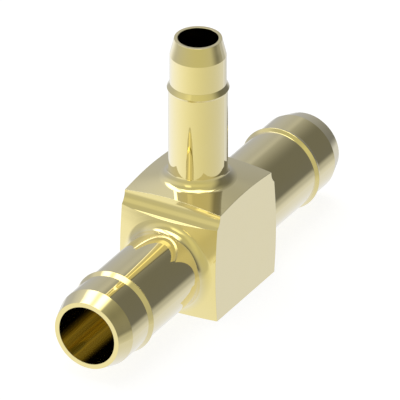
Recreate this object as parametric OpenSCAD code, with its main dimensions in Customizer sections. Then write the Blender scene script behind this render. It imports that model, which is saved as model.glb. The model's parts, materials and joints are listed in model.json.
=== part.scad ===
// Reducing hose barb tee, turned and bored from one slice of extruded brass bar.
// The run lies along Y, the branch stands along +Z, and the sawn faces look to -X and +X.
// The origin is where the two bores' axes cross.

/* [Bar slice] */
// Thickness of the slice, between its two flat sawn faces
bar_thickness = 12.7; // [11.6:0.1:16]
// Height of the bar's run leg
run_leg_width = 11.6; // [10.8:0.1:13.4]
// Width of the bar's branch leg
branch_leg_width = 11.9; // [9:0.1:12.4]
// Radius of the two hollow corners where the legs meet
corner_radius = 1.9; // [1:0.1:4]

/* [Run ends] */
// Length of the run from tip to tip
run_length = 51.5; // [44:0.1:70]
// Bore through the run
run_bore_d = 7.3; // [5.5:0.05:7.9]
// Wall that is left around the bore at each run tip
run_tip_wall = 0.57; // [0.3:0.01:0.9]
// Diameter of the run's barbs, which a hose with a 3/8 in bore is pushed over
run_barb_d = 9.78; // [9.2:0.02:10.2]
// Diameter of the run's necks, between the barbs and the body
run_neck_d = 9.74; // [9:0.02:10.2]
// Distance from the branch axis to each run shoulder, measured at the neck
run_shoulder_at = 7.35; // [6.4:0.05:9]

/* [Branch end] */
// Height of the branch tip above the run axis
branch_height = 26.7; // [23:0.1:38]
// Bore of the branch, which opens into the run
branch_bore_d = 4.76; // [3:0.02:5.2]
// Wall that is left around the bore at the branch tip
branch_tip_wall = 0.4; // [0.3:0.02:0.7]
// Diameter of the branch barb, which a hose with a 1/4 in bore is pushed over
branch_barb_d = 6.6; // [6.3:0.02:7.2]
// Diameter of the branch neck, between the barb and the body
branch_neck_d = 6.92; // [6.3:0.02:7.6]
// Height of the branch shoulder above the run axis, measured at the neck
branch_shoulder_at = 8.7; // [7.6:0.05:10]

/* [Barb form] */
// Length of the cone that leads each hose on
lead_cone_length = 2.14; // [1.5:0.02:3]
// Length of the straight barb behind the cone
barb_land_length = 3.6; // [2.4:0.05:5]
// Height of the ring's crest above the barb
ring_height = 0.33; // [0.2:0.01:0.5]
// Angle at which the ring climbs from the barb
ring_front_slope = 28; // [20:1:40]
// Angle at which the ring falls to the neck
ring_back_slope = 42; // [30:1:50]
// Radius that rounds the ring's crest
ring_crest_radius = 0.1; // [0.05:0.01:0.12]
// Radius that blends the ring's foot into the neck
ring_foot_radius = 0.15; // [0.05:0.01:0.2]

/* [Turned shoulders] */
// Angle at which the shoulders fall back from the necks
shoulder_slope = 10; // [0:0.5:14]
// Radius that blends each neck into its shoulder
root_radius = 1.3; // [0.3:0.05:1.4]

/* [Hidden] */

// Faces round a turned surface or a bore
$fn = 128;
// How far a cutter runs past the metal that it removes
overrun = 1;
// Least height of a ring's crest above its neck, room for the rounds of its crest and foot
least_ring_rise = 0.12;
// Farthest corner of the block from either axis, which the turning cuts have to reach
block_reach = norm([bar_thickness / 2,
    max(run_leg_width / 2 + corner_radius, branch_leg_width / 2 + corner_radius, branch_shoulder_at)]);
// Radius that the turning cuts clear
sweep_radius = block_reach + overrun;

run_tip_d = run_bore_d + 2 * run_tip_wall;
branch_tip_d = branch_bore_d + 2 * branch_tip_wall;
run_reach = run_length / 2;
run_leg_floor = -run_leg_width / 2;

// Outline of the extruded bar, with the run across and the branch leg standing up
module bar_section() {
    translate([-run_reach, run_leg_floor]) square([run_length, run_leg_width]);
    translate([-branch_leg_width / 2, 0]) square([branch_leg_width, branch_height]);
    for (side = [0, 1]) mirror([side, 0]) hollow_corner();
}

// Metal in the corner between the two legs, hollowed by a round of corner_radius
module hollow_corner() {
    translate([branch_leg_width / 2, run_leg_width / 2])
        difference() {
            translate([-overrun, -overrun]) square(corner_radius + overrun);
            translate([corner_radius, corner_radius]) circle(corner_radius);
        }
}

// Slice sawn from the bar
module bar_slice() {
    rotate([90, 0, 90]) linear_extrude(bar_thickness, center = true) bar_section();
}

// Half section of the metal that turning takes away round one end: across is the distance
// from the axis, up is the distance along it
module turned_away(reach, tip_d, barb_d, neck_d, shoulder_at) {
    slope = tan(shoulder_slope);
    barb_r = barb_d / 2;
    neck_r = neck_d / 2;
    cone_end = reach - lead_cone_length;
    land_end = cone_end - barb_land_length;
    // Middle of the round on the ring's crest, which touches both slopes
    crest_r = max(barb_r + ring_height, neck_r + least_ring_rise);
    crest_at = land_end - (crest_r - barb_r) / tan(ring_front_slope)
        - ring_crest_radius * tan(ring_front_slope / 2);
    crest_middle = [crest_r - ring_crest_radius, crest_at];
    // Middle of the round at the ring's foot, which touches the neck and the back slope
    foot_at = crest_at - (crest_r - neck_r) / tan(ring_back_slope)
        - (ring_crest_radius + ring_foot_radius) * tan(ring_back_slope / 2);
    foot_middle = [neck_r + ring_foot_radius, foot_at];
    // Middle of the root round, which touches the neck and the sloping shoulder
    root_middle = [neck_r + root_radius,
        shoulder_at - slope * root_radius + root_radius / cos(shoulder_slope)];
    back = [cos(ring_back_slope), -sin(ring_back_slope)];
    front = [cos(ring_front_slope), sin(ring_front_slope)];
    difference() {
        union() {
            polygon([
                [tip_d / 2, reach + overrun],
                [sweep_radius, reach + overrun],
                [sweep_radius, shoulder_at - slope * (sweep_radius - neck_r)],
                root_middle - root_radius * [sin(shoulder_slope), cos(shoulder_slope)],
                [neck_r, root_middle.y],
                [neck_r, foot_at],
                foot_middle - ring_foot_radius * back,
                crest_middle + ring_crest_radius * back,
                crest_middle + ring_crest_radius * front,
                [barb_r, land_end],
                [barb_r, cone_end],
                [tip_d / 2, reach]
            ]);
            translate(root_middle) circle(root_radius);
            translate(foot_middle) circle(ring_foot_radius);
        }
        translate(crest_middle) circle(ring_crest_radius);
    }
}

// Cut that turns both ends of the run
module run_turning() {
    for (side = [-90, 90]) rotate([side, 0, 0])
        rotate_extrude()
            turned_away(run_reach, run_tip_d, run_barb_d, run_neck_d, run_shoulder_at);
}

// Cut that turns the end of the branch
module branch_turning() {
    rotate_extrude()
        turned_away(branch_height, branch_tip_d, branch_barb_d, branch_neck_d, branch_shoulder_at);
}

// Bore through the run, and the branch's bore that meets it
module bores() {
    rotate([90, 0, 0]) cylinder(h = run_length + 2 * overrun, d = run_bore_d, center = true);
    cylinder(h = branch_height + overrun, d = branch_bore_d);
}

// The whole tee, one piece of brass
module tee_body() {
    color("#D8C98F")
        difference() {
            bar_slice();
            run_turning();
            branch_turning();
            bores();
        }
}

tee_body();
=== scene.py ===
"""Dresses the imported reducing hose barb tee, and sets its studio and camera."""
import json
import math

import bpy
from bpy.props import FloatProperty, FloatVectorProperty, PointerProperty
from bpy.types import Operator, Panel, PropertyGroup
from mathutils import Matrix, Vector


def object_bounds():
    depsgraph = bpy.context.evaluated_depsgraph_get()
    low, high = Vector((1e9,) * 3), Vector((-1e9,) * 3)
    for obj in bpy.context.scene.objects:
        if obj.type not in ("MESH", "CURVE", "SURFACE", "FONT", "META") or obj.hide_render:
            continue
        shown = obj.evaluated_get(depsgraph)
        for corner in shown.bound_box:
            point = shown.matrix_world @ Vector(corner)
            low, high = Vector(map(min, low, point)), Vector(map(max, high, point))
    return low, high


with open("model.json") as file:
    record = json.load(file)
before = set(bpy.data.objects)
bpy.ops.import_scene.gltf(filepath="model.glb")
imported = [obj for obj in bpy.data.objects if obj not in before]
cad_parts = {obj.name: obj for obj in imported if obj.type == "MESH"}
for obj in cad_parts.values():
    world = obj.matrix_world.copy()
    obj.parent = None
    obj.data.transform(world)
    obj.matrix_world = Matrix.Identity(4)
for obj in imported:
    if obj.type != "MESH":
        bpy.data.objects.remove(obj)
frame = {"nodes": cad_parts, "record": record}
CAD_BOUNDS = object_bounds()

bl_info = {
    "name": "Hose Barb Tee",
    "version": (1, 0, 0),
    "blender": (4, 5, 0),
    "location": "View3D > Sidebar > Tee",
    "description": "Brass finish, studio and camera for a reducing hose barb tee",
    "category": "Object",
}

MM = 0.001
TEE_BODY = "tee_body"


def linear(hex_colour):
    """sRGB hex colour as linear RGBA."""
    channels = [int(hex_colour[i:i + 2], 16) / 255 for i in (1, 3, 5)]
    curve = [c / 12.92 if c <= 0.04045 else ((c + 0.055) / 1.055) ** 2.4 for c in channels]
    return (*curve, 1.0)


def add_node(tree, kind, inputs=(), **settings):
    """Adds a node with its settings, links or sets its inputs, and returns its outputs.

    Inputs are in the node's own order, or in a dict by name.
    """
    node = tree.nodes.new("ShaderNode" + kind)
    for name, value in settings.items():
        setattr(node, name, value)
    keyed = inputs if isinstance(inputs, dict) else dict(enumerate(inputs))
    for key, value in keyed.items():
        if isinstance(value, bpy.types.NodeSocket):
            tree.links.new(value, node.inputs[key])
        else:
            node.inputs[key].default_value = value
    return node.outputs


def new_tree(owner):
    """Turns nodes on and empties the tree."""
    owner.use_nodes = True
    owner.node_tree.nodes.clear()
    return owner.node_tree


def soft_cover(tree, edges, cover=1.0):
    """Cover that is 1 inside all the edges and 0 outside any of them, and smooth between.

    Each edge is the value that it is measured by, where that value starts to count and where it
    counts in full. Where it starts above that, the inside is below.
    """
    for value, start, full in edges:
        edge = add_node(
            tree,
            "MapRange",
            {"Value": value, "From Min": start, "From Max": full},
            interpolation_type="SMOOTHSTEP",
        )["Result"]
        cover = add_node(tree, "Math", (cover, edge), operation="MULTIPLY")[0]
    return cover


class TeeFinish(PropertyGroup):
    """Colours and surface of the brass."""

    facing_colour: FloatVectorProperty(
        name="Facing colour",
        description="Colour of the brass where it is looked at square on",
        subtype="COLOR",
        size=4,
        min=0.0,
        max=1.0,
        default=linear("#F6E489"),
    )
    glancing_colour: FloatVectorProperty(
        name="Glancing colour",
        description="Colour of the brass where it is looked at along its surface",
        subtype="COLOR",
        size=4,
        min=0.0,
        max=1.0,
        default=linear("#FCF8EA"),
    )
    roughness: FloatProperty(
        name="Roughness",
        description="How far the polish spreads a reflection",
        default=0.045,
        min=0.0,
        max=1.0,
        subtype="FACTOR",
    )
    edge_round: FloatProperty(
        name="Edge round",
        description="Radius that the bright dip leaves on the turned and sawn edges",
        default=0.06 * MM,
        min=0.0,
        unit="LENGTH",
    )
    turning_pitch: FloatProperty(
        name="Turning pitch",
        description="Distance between the fine lines that turning leaves round the ends",
        default=0.35 * MM,
        min=0.01 * MM,
        unit="LENGTH",
    )
    turning_depth: FloatProperty(
        name="Turning depth",
        description="Depth of the turning lines",
        default=0.0008 * MM,
        min=0.0,
        unit="LENGTH",
    )
    die_pitch: FloatProperty(
        name="Die line pitch",
        description="Distance between the lines that the extrusion die drew along the bar",
        default=0.6 * MM,
        min=0.01 * MM,
        unit="LENGTH",
    )
    die_depth: FloatProperty(
        name="Die line depth",
        description="Depth of the die lines",
        default=0.004 * MM,
        min=0.0,
        unit="LENGTH",
    )
    # Painted glow: an emission in the run's bore that stands in for the reflections that follow
    # each other along its wall
    painted_bore_glow_colour: FloatVectorProperty(
        name="Bore glow",
        description="Light that each look into the run's bore gathers from its reamed wall",
        subtype="COLOR",
        size=4,
        min=0.0,
        max=1.0,
        default=linear("#463C12"),
    )
    # Width of the streaks in the painted glow of the run's bore; they change only that painted
    # glow
    painted_glow_streak_pitch: FloatProperty(
        name="Reaming pitch",
        description="Width of the streaks that reaming leaves along the run's bore",
        default=1.1 * MM,
        min=0.01 * MM,
        unit="LENGTH",
    )


class TeeStudio(PropertyGroup):
    """Brightness of what stands around the tee, where 1 is white."""

    wall_level: FloatProperty(
        name="Walls",
        description="Brightness of the grey walls",
        default=0.522,
        min=0.0,
        max=1.0,
    )
    wall_slant: FloatProperty(
        name="Wall slant",
        description="How much brighter the wall behind the camera is",
        default=0.06,
        min=0.0,
        max=1.0,
    )
    table_level: FloatProperty(
        name="Table",
        description="Brightness of the pale table",
        default=0.82,
        min=0.0,
        max=1.0,
    )
    table_slant: FloatProperty(
        name="Table slant",
        description="How much brighter the table is on the side of the softbox",
        default=0.16,
        min=0.0,
        max=1.0,
    )
    shade_level: FloatProperty(
        name="Shade",
        description="Brightness of the table where the tee shades it",
        default=0.66,
        min=0.0,
        max=1.0,
    )
    glow_level: FloatProperty(
        name="Back wall glow",
        description="Brightness of the lit band on the wall behind the camera",
        default=0.7,
        min=0.0,
        max=1.0,
    )
    screen_level: FloatProperty(
        name="Dark screen",
        description="Brightness of the dark screen behind the right side",
        default=0.165,
        min=0.0,
        max=1.0,
    )
    side_box_level: FloatProperty(
        name="Side softbox",
        description="Brightness of the softbox on the left",
        default=2.25,
        min=0.0,
        max=4.0,
    )
    halo_level: FloatProperty(
        name="Softbox halo",
        description="Brightness of the ceiling round the side softbox",
        default=0.7,
        min=0.0,
        max=1.0,
    )
    top_box_level: FloatProperty(
        name="Top softbox",
        description="Brightness of the softbox overhead",
        default=2.6,
        min=0.0,
        max=4.0,
    )
    seam_level: FloatProperty(
        name="Seam",
        description="Brightness between the two softboxes",
        default=1.15,
        min=0.0,
        max=4.0,
    )
    strip_level: FloatProperty(
        name="Strip light",
        description="Brightness of the upright strip light in front",
        default=1.25,
        min=0.0,
        max=4.0,
    )
    floor_reach: FloatProperty(
        name="Floor reach",
        description="How far the square floor reaches on each side of the tee",
        default=0.6,
        min=0.1,
        unit="LENGTH",
    )
    floor_colour: FloatVectorProperty(
        name="Floor colour",
        description="Colour of the pale floor",
        subtype="COLOR",
        size=4,
        min=0.0,
        max=1.0,
        default=linear("#8C8C8A"),
    )
    floor_lift: FloatProperty(
        name="Floor lift",
        description="How far the floor is lifted towards the white background",
        default=0.84,
        min=0.0,
        max=1.0,
    )


class TeeCamera(PropertyGroup):
    """Where the photograph was taken from."""

    azimuth: FloatProperty(
        name="Azimuth",
        description="Angle of the view round the branch, from straight along the run",
        default=math.radians(29.733),
        subtype="ANGLE",
    )
    elevation: FloatProperty(
        name="Elevation",
        description="Angle of the view above the horizon",
        default=math.radians(29.482),
        subtype="ANGLE",
    )
    lens: FloatProperty(
        name="Lens",
        description="Focal length in millimetres, long enough for a nearly parallel view",
        default=1600.0,
        min=50.0,
        unit="CAMERA",
    )
    view_width: FloatProperty(
        name="View width",
        description="Width of what the picture takes in at the crossing of the bores",
        default=46.3 * MM,
        min=0.01,
        unit="LENGTH",
    )
    aim_right: FloatProperty(
        name="Aim right",
        description="How far the picture's middle lies right of the crossing of the bores",
        default=0.2185 * MM,
        unit="LENGTH",
    )
    aim_up: FloatProperty(
        name="Aim up",
        description="How far the picture's middle lies above the crossing of the bores",
        default=4.576 * MM,
        unit="LENGTH",
    )


# Slack that tells the bore's wall and the sawn faces from what lies just beside them
SLACK = 0.005 * MM
# The block between the turned ends, measured from the crossing of the bores
BLOCK_REACH = 7.05 * MM
BLOCK_TOP = 8.0 * MM
BLOCK_HALF_THICKNESS = CAD_BOUNDS[1].x - SLACK
# Axes of the run and of the branch, which cross at the origin
RUN_AXIS = (0.0, 1.0, 0.0)
BRANCH_AXIS = (0.0, 0.0, 1.0)
# Soft, uneven patches that the dip leaves in the tint and the polish
MOTTLE_SIZE = 2.5 * MM
MOTTLE_TINT = 0.05
MOTTLE_ROUGHNESS = 0.02
# Middle of the values that a noise gives
NOISE_MIDDLE = 0.5
# How fast a line changes along itself, beside how fast it changes across
LINE_DRIFT = 0.02
# Finer unevenness that is added to the lines
LINE_DETAIL = 1.0
# How many looks around a place find the round of an edge
EDGE_SAMPLES = 8
# Where the painted glow in the bore starts and where it is full: by the slant of the look, 0 where
# the wall is looked at square on, and by the height of the streaks that break that painted glow up
GLOW_SLANT = (0.485, 0.32)
GLOW_STREAKS = (0.28, 0.72)


def mount_radius(name):
    """Radius of one of the record's bores or pins."""
    mount = next(mount for mount in frame["record"]["mounts"] if mount["name"] == name)
    return mount["dims"]["r_mm"] * MM


def distance_from(tree, place, axis):
    """Distance of a place from an axis through the crossing of the bores."""
    lever = add_node(tree, "VectorMath", (place, axis), operation="CROSS_PRODUCT")["Vector"]
    return add_node(tree, "VectorMath", (lever,), operation="LENGTH")["Value"]


def uneven_lines(tree, place, across, pitch):
    """Height of uneven lines, about pitch apart. Across is near 0 on the axis that they follow."""
    scaled = add_node(tree, "VectorMath", (place, across), operation="MULTIPLY")["Vector"]
    settings = {"Vector": scaled, "Scale": 1 / pitch, "Detail": LINE_DETAIL}
    return add_node(tree, "TexNoise", settings)[0]


def polished_brass(finish):
    """Free-cutting brass, sawn from extruded bar, turned, and then bright-dipped.

    It mirrors its surroundings almost sharply, deep yellow where it faces the eye and near
    white where it turns away, which is what makes the whole fitting look pale. Fine lines ring
    the turned ends, and others run along the hollow corners of the bar. The real ones are finer
    than the picture shows, so they are drawn as coarse as they need to be to show.
    """
    material = bpy.data.materials.new("polished_turned_brass")
    tree = new_tree(material)
    place = add_node(tree, "TexCoord")["Object"]
    x, y, z = add_node(tree, "SeparateXYZ", (place,))
    aside, along = (add_node(tree, "Math", (value,), operation="ABSOLUTE")[0] for value in (x, y))
    from_run = distance_from(tree, place, RUN_AXIS)
    from_branch = distance_from(tree, place, BRANCH_AXIS)

    # Tint and polish: pale with the slant of the look, and a little uneven from place to place
    slant = add_node(tree, "LayerWeight")["Facing"]
    mottle = add_node(tree, "TexNoise", {"Vector": place, "Scale": 1 / MOTTLE_SIZE})[0]
    mottle = add_node(tree, "Math", (mottle, NOISE_MIDDLE), operation="SUBTRACT")[0]
    paleness = add_node(tree, "Math", (mottle, MOTTLE_TINT, slant), operation="MULTIPLY_ADD")[0]
    tints = {"Factor": paleness, "A": finish.facing_colour, "B": finish.glancing_colour}
    colour = add_node(tree, "Mix", tints, data_type="RGBA")["Result"]
    polish = (mottle, MOTTLE_ROUGHNESS, finish.roughness)
    roughness = add_node(tree, "Math", polish, operation="MULTIPLY_ADD")[0]

    # The block, and the turned ends outside it
    on_branch = add_node(tree, "Math", (z, BLOCK_TOP), operation="GREATER_THAN")[0]
    below_branch = add_node(tree, "Math", (1.0, on_branch), operation="SUBTRACT")[0]
    between_ends = add_node(tree, "Math", (along, BLOCK_REACH), operation="LESS_THAN")[0]
    between_faces = add_node(tree, "Math", (aside, BLOCK_HALF_THICKNESS), operation="LESS_THAN")[0]
    on_block = add_node(tree, "Math", (between_ends, below_branch), operation="MULTIPLY")[0]
    on_ends = add_node(tree, "Math", (1.0, on_block), operation="SUBTRACT")[0]
    in_corners = add_node(tree, "Math", (on_block, between_faces), operation="MULTIPLY")[0]

    # Lines: rings on the turned ends, whose height changes only along and away from the turned
    # axis, and die lines in the hollow corners of the block. Heights are in metres, as a bump
    # with a distance of 1 takes them
    round_run = add_node(tree, "Math", (along, from_run), operation="ADD")[0]
    round_branch = add_node(tree, "Math", (z, from_branch), operation="ADD")[0]
    turned_ends = {"Factor": on_branch, "A": round_run, "B": round_branch}
    turned_at = add_node(tree, "Mix", turned_ends, data_type="FLOAT")["Result"]
    turned_at = add_node(tree, "CombineXYZ", {"X": turned_at})["Vector"]
    rings = uneven_lines(tree, turned_at, (1.0, 0.0, 0.0), finish.turning_pitch)
    die_lines = uneven_lines(tree, place, (LINE_DRIFT, 1.0, 1.0), finish.die_pitch)
    height = 0.0
    for lines, cover, depth in (
        (die_lines, in_corners, finish.die_depth),
        (rings, on_ends, finish.turning_depth),
    ):
        covered = add_node(tree, "Math", (lines, cover), operation="MULTIPLY")[0]
        height = add_node(tree, "Math", (covered, depth, height), operation="MULTIPLY_ADD")[0]
    edge = add_node(tree, "Bevel", {"Radius": finish.edge_round}, samples=EDGE_SAMPLES)["Normal"]
    surface = add_node(tree, "Bump", {"Distance": 1.0, "Height": height, "Normal": edge})["Normal"]

    # Inside the run's bore, a painted glow, an emission, stands in for the reflections that follow
    # each other along
    # its wall: the more squarely the wall is seen, the brighter that painted glow. Streaks break
    # it up
    bore_reach = mount_radius("run_passage") + SLACK
    in_bore = add_node(tree, "Math", (from_run, bore_reach), operation="LESS_THAN")[0]
    streaks = uneven_lines(tree, place, (1.0, LINE_DRIFT, 1.0), finish.painted_glow_streak_pitch)
    glow = soft_cover(tree, ((slant, *GLOW_SLANT), (streaks, *GLOW_STREAKS)), in_bore)
    shader = add_node(
        tree,
        "BsdfPrincipled",
        {
            "Base Color": colour,
            "Metallic": 1.0,
            "Roughness": roughness,
            "Normal": surface,
            # Painted glow in the bore, standing in for the reflections along its wall
            "Emission Color": finish.painted_bore_glow_colour,
            "Emission Strength": glow,
        },
    )["BSDF"]
    add_node(tree, "OutputMaterial", {"Surface": shader})
    return material


class TEE_OT_body(Operator):
    """Gives the tee its polished brass."""

    bl_idname = "tee.body"
    bl_label = "Tee Body"
    bl_options = {"REGISTER", "UNDO"}

    def execute(self, context):
        body = frame["nodes"][TEE_BODY]
        brass = polished_brass(context.scene.tee_finish)
        body.data.materials.clear()
        body.data.materials.append(brass)
        return {"FINISHED"}


def compass(azimuth):
    """Level direction at an azimuth, clockwise from +Y."""
    return (math.sin(math.radians(azimuth)), math.cos(math.radians(azimuth)), 0.0)


# Directions that looks from the tee are measured along. Drop is straight down but for the little
# that the table's edge leans. Line is square to the straight edge that both softboxes share, and
# side to the gap between them. The walls and the table are a little brighter towards one side.
DIRECTIONS = {
    "right": (1.0, 0.0, 0.0),
    "left": (-1.0, 0.0, 0.0),
    "front": (0.0, -1.0, 0.0),
    "back": (0.0, 1.0, 0.0),
    "up": (0.0, 0.0, 1.0),
    "drop": (-0.058, -0.016, -1.0),
    "line": (0.233, 1.0, 0.109),
    "side": (1.0, -0.8, 0.0),
    "bright wall": compass(165),
    "bright table": compass(-100),
}
# The things in the studio, which lie over each other in this order. Each has soft edges, and a
# pair says where an edge starts and where the thing is full. Azimuth is in degrees clockwise from
# +Y, behind is the same from -Y, and elevation is in degrees. Drop is how far a look of length 1
# goes down. The others say where a look meets a level ceiling 1 above the tee: across in +X,
# along in +Y, and line and side in the directions of those names.
TABLE = {"drop": [(0.25, 0.41)]}
SHADE = {"azimuth": [(-50, -36), (20, 11)], "elevation": [(-12, -19), (-36, -30)]}
BACK_WALL_GLOW = {"behind": [(-100, -10), (150, 90)], "elevation": [(6, 24), (48, 34)]}
SCREEN = {"azimuth": [(-40, 24), (102, 60)], "elevation": [(-16, -6), (85, 36)]}
STRIP = {"behind": [(-8, 3), (26, 17)], "elevation": [(20, 36), (51, 43)]}
HALO = {
    "across": [(-2.4, -1.0), (-0.3, -0.6)],
    "along": [(1.7, 0.7)],
    "line": [(-0.22, -0.1)],
}
SEAM = {
    "side": [(-0.75, -0.6), (-0.3, -0.4)],
    "along": [(0.72, 0.43)],
    "line": [(-0.22, -0.1)],
}
SIDE_BOX = {
    "across": [(-1.45, -0.93)],
    "side": [(-0.54, -0.7)],
    "along": [(0.72, 0.43)],
    "line": [(-0.22, -0.1)],
}
TOP_BOX = {
    "side": [(-0.46, -0.3)],
    "across": [(0.36, 0.06)],
    "along": [(0.42, 0.34)],
    "line": [(-0.22, -0.1)],
}
# Least rise of a look that is taken to meet the ceiling
LEAST_RISE = 0.001
# Level of a plain white background
WHITE = 1.0


def studio_world(studio):
    """The studio that the brass mirrors. The camera sees a white background in its place."""
    world = bpy.data.worlds.new("studio")
    tree = new_tree(world)
    look = add_node(tree, "TexCoord")["Generated"]
    reach = {
        name: add_node(tree, "VectorMath", (look, direction), operation="DOT_PRODUCT")["Value"]
        for name, direction in DIRECTIONS.items()
    }
    angles = {
        "azimuth": add_node(tree, "Math", (reach["right"], reach["back"]), operation="ARCTAN2")[0],
        "behind": add_node(tree, "Math", (reach["left"], reach["front"]), operation="ARCTAN2")[0],
        "elevation": add_node(tree, "Math", (reach["up"],), operation="ARCSINE")[0],
    }
    on_ceiling = {
        "across": reach["right"],
        "along": reach["back"],
        "line": reach["line"],
        "side": reach["side"],
    }
    rise = add_node(tree, "Math", (reach["up"], LEAST_RISE), operation="MAXIMUM")[0]
    measures = {"drop": reach["drop"]}
    for name, angle in angles.items():
        measures[name] = add_node(tree, "Math", (angle,), operation="DEGREES")[0]
    for name, distance in on_ceiling.items():
        measures[name] = add_node(tree, "Math", (distance, rise), operation="DIVIDE")[0]

    walls = (reach["bright wall"], studio.wall_slant, studio.wall_level)
    level = add_node(tree, "Math", walls, operation="MULTIPLY_ADD")[0]
    table = (reach["bright table"], studio.table_slant, studio.table_level)
    table_level = add_node(tree, "Math", table, operation="MULTIPLY_ADD")[0]
    for extent, laid_level in (
        (TABLE, table_level),
        (SHADE, studio.shade_level),
        (BACK_WALL_GLOW, studio.glow_level),
        (SCREEN, studio.screen_level),
        (STRIP, studio.strip_level),
        (HALO, studio.halo_level),
        (SEAM, studio.seam_level),
        (SIDE_BOX, studio.side_box_level),
        (TOP_BOX, studio.top_box_level),
    ):
        edges = [(measures[name], *edge) for name, pairs in extent.items() for edge in pairs]
        layers = {"Factor": soft_cover(tree, edges), "A": level, "B": laid_level}
        level = add_node(tree, "Mix", layers, data_type="FLOAT")["Result"]

    seen = add_node(tree, "LightPath")["Is Camera Ray"]
    shown = {"Factor": seen, "A": level, "B": WHITE}
    strength = add_node(tree, "Mix", shown, data_type="FLOAT")["Result"]
    white_light = {"Color": (1.0, 1.0, 1.0, 1.0), "Strength": strength}
    background = add_node(tree, "Background", white_light)["Background"]
    add_node(tree, "OutputWorld", {"Surface": background})
    return world


def pale_floor_material(studio):
    """Matt white card. It keeps a soft shadow and otherwise runs into the white background.

    Reflections and looks from below pass through it, to what the studio has there.
    """
    material = bpy.data.materials.new("matt_white_card")
    tree = new_tree(material)
    card = add_node(tree, "BsdfDiffuse", {"Color": studio.floor_colour})["BSDF"]
    lift = add_node(tree, "Emission", {"Strength": studio.floor_lift})["Emission"]
    lit = add_node(tree, "AddShader", (card, lift))["Shader"]
    clear = add_node(tree, "BsdfTransparent")["BSDF"]
    mirrored = add_node(tree, "LightPath")["Is Glossy Ray"]
    from_below = add_node(tree, "NewGeometry")["Backfacing"]
    open_to = add_node(tree, "Math", (mirrored, from_below), operation="MAXIMUM")[0]
    shown = add_node(tree, "MixShader", (open_to, lit, clear))["Shader"]
    add_node(tree, "OutputMaterial", {"Surface": shown})
    return material


class TEE_OT_stage(Operator):
    """Lays the floor and puts up the studio."""

    bl_idname = "tee.stage"
    bl_label = "Stage"
    bl_options = {"REGISTER", "UNDO"}

    def execute(self, context):
        studio = context.scene.tee_studio
        context.scene.world = studio_world(studio)
        context.scene.view_settings.view_transform = "Standard"
        reach = studio.floor_reach
        low = CAD_BOUNDS[0].z
        mesh = bpy.data.meshes.new("floor")
        corners = [
            (across * reach, along * reach, low)
            for across, along in ((-1, -1), (1, -1), (1, 1), (-1, 1))
        ]
        mesh.from_pydata(corners, [], [(0, 1, 2, 3)])
        floor = bpy.data.objects.new("floor", mesh)
        context.scene.collection.objects.link(floor)
        mesh.materials.append(pale_floor_material(studio))
        return {"FINISHED"}


# Width of the camera's sensor, in the millimetres that its lens is given in
SENSOR_WIDTH = 36.0


class TEE_OT_camera(Operator):
    """Puts the camera at the photograph's angle."""

    bl_idname = "tee.camera"
    bl_label = "Camera"
    bl_options = {"REGISTER", "UNDO"}

    def execute(self, context):
        view = context.scene.tee_camera
        right = Vector((math.cos(view.azimuth), math.sin(view.azimuth), 0.0))
        back = Vector(
            (
                math.sin(view.azimuth) * math.cos(view.elevation),
                -math.cos(view.azimuth) * math.cos(view.elevation),
                math.sin(view.elevation),
            )
        )
        up = back.cross(right)
        data = bpy.data.cameras.new("camera")
        data.sensor_width = SENSOR_WIDTH
        data.lens = view.lens
        distance = view.view_width * view.lens / SENSOR_WIDTH
        data.clip_start = distance / 2
        data.clip_end = distance * 2
        camera = bpy.data.objects.new("camera", data)
        context.scene.collection.objects.link(camera)
        place = right * view.aim_right + up * view.aim_up + back * distance
        turn = Matrix((right, up, back)).transposed().to_4x4()
        camera.matrix_world = Matrix.Translation(place) @ turn
        context.scene.camera = camera
        return {"FINISHED"}


class TEE_PT_panel(Panel):
    """Buttons and settings of the tee."""

    bl_label = "Hose Barb Tee"
    bl_idname = "TEE_PT_panel"
    bl_space_type = "VIEW_3D"
    bl_region_type = "UI"
    bl_category = "Tee"

    def draw(self, context):
        layout = self.layout
        scene = context.scene
        for operator, settings in (
            (TEE_OT_body, scene.tee_finish),
            (TEE_OT_stage, scene.tee_studio),
            (TEE_OT_camera, scene.tee_camera),
        ):
            box = layout.box()
            box.operator(operator.bl_idname)
            for name in settings.__annotations__:
                box.prop(settings, name)


SETTINGS = {"tee_finish": TeeFinish, "tee_studio": TeeStudio, "tee_camera": TeeCamera}
CLASSES = (*SETTINGS.values(), TEE_OT_body, TEE_OT_stage, TEE_OT_camera, TEE_PT_panel)


def register():
    for cls in CLASSES:
        bpy.utils.register_class(cls)
    for name, group in SETTINGS.items():
        setattr(bpy.types.Scene, name, PointerProperty(type=group))


def unregister():
    for name in SETTINGS:
        delattr(bpy.types.Scene, name)
    for cls in reversed(CLASSES):
        bpy.utils.unregister_class(cls)


def main():
    register()
    bpy.ops.tee.body()
    bpy.ops.tee.stage()
    bpy.ops.tee.camera()


if __name__ == "__main__":
    main()
